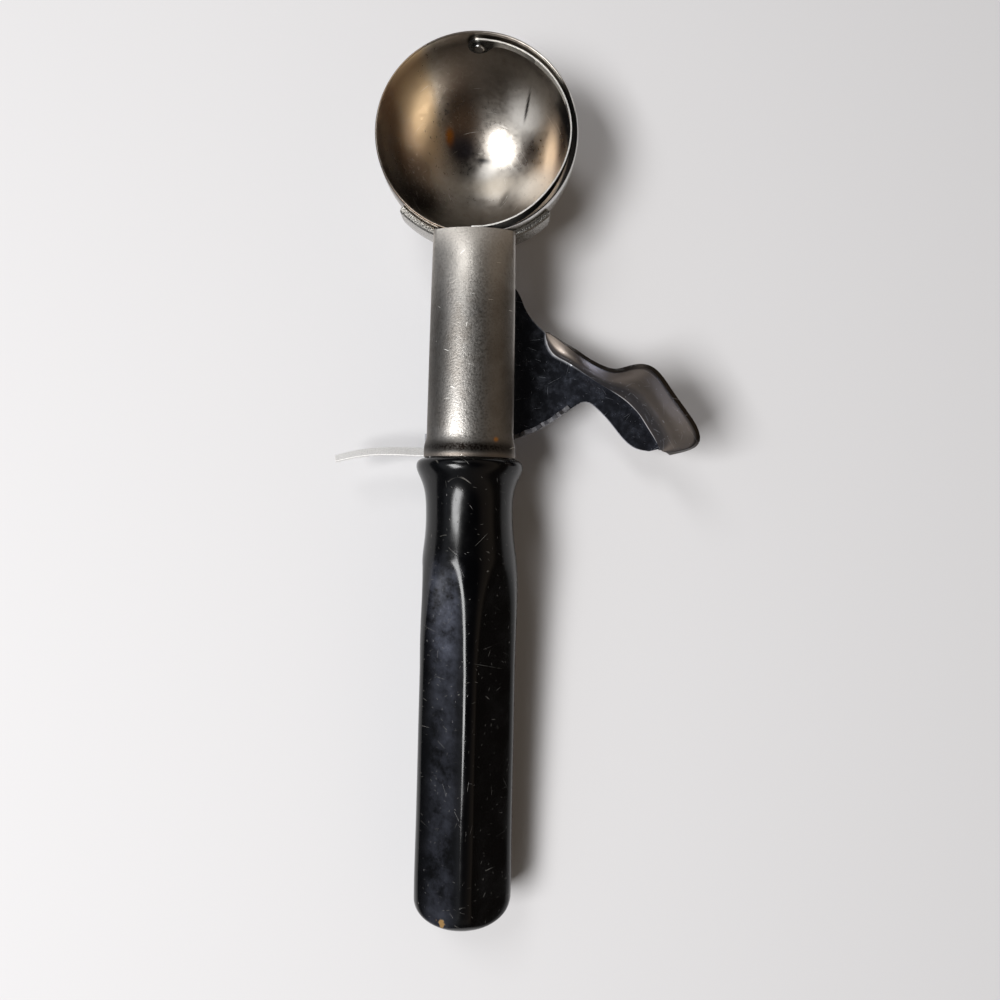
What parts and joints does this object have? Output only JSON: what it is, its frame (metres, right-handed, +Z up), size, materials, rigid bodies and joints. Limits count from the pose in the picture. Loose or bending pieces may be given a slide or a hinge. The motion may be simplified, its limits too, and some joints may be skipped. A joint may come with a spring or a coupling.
{
  "type": "lever ice cream scoop",
  "caption": "Lever ice cream scoop: half-round bowl with a sweeping scraper blade driven by a thumb lever, rack and pinion, on a covered shank with a faceted black wooden handle.",
  "frame": {"origin": "centre of the tool's footprint, on the surface that it lies on", "axes": "+Z up, +Y from the handle's butt towards the bowl, +X towards the thumb lever; the tool lies on its bowl and on the flat under the handle's butt, mouth up"},
  "size_m": [0.1044, 0.249, 0.0363],
  "materials": {
    "polished_bowl_steel": "worn polish",
    "cast_nickel_silver": "brushed cast metal",
    "satin_cover_steel": "satin, finely pitted",
    "plated_lever_steel": "plated, polished, worn",
    "spring_steel": "bright cold-rolled strip",
    "plain_steel": "turned",
    "bearing_brass": "turned",
    "black_lacquered_wood": "glossy black lacquer, scratched"
  },
  "bodies": {
    "frame": {"bowl": "polished_bowl_steel", "bowl_yoke": "cast_nickel_silver", "shank_cover": "satin_cover_steel", "cover_rivets": "satin_cover_steel", "end_plate": "satin_cover_steel", "tang": "plain_steel", "front_bush": "bearing_brass", "rear_bush": "bearing_brass", "handle_grip": "black_lacquered_wood", "tip_pin": "plain_steel", "lever_pivot_pin": "plain_steel", "pivot_washer": "bearing_brass", "return_spring": "spring_steel"},
    "lever": {"thumb_lever": "plated_lever_steel", "lever_bush": "bearing_brass", "rack_tail": "spring_steel", "tail_rivets": "plain_steel"},
    "scraper": {"scraper_blade": "polished_bowl_steel", "scraper_shaft": "plain_steel", "pinion": "bearing_brass", "pinion_cross_pin": "plain_steel", "thrust_washer": "bearing_brass"}
  },
  "joints": [
    {"name": "lever_press", "type": "hinge", "parent": "frame", "child": "lever", "pos_m": [-0.01143, 0.05286, 0.01558], "axis": [0, 0.0785, -0.9969], "range_deg": [0, 30.5], "stiffness_Nm_per_rad": 1, "springref_deg": -5.73, "deforming": ["return_spring"]},
    {"name": "scraper_sweep", "type": "hinge", "parent": "frame", "child": "scraper", "pos_m": [-0.01143, 0.09598, 0.0285], "axis": [0, 0.9969, 0.0785], "range_deg": [0, 183]}
  ],
  "couplings": [
    {"joint": "scraper_sweep", "follows": "lever_press", "ratio": 6}
  ]
}
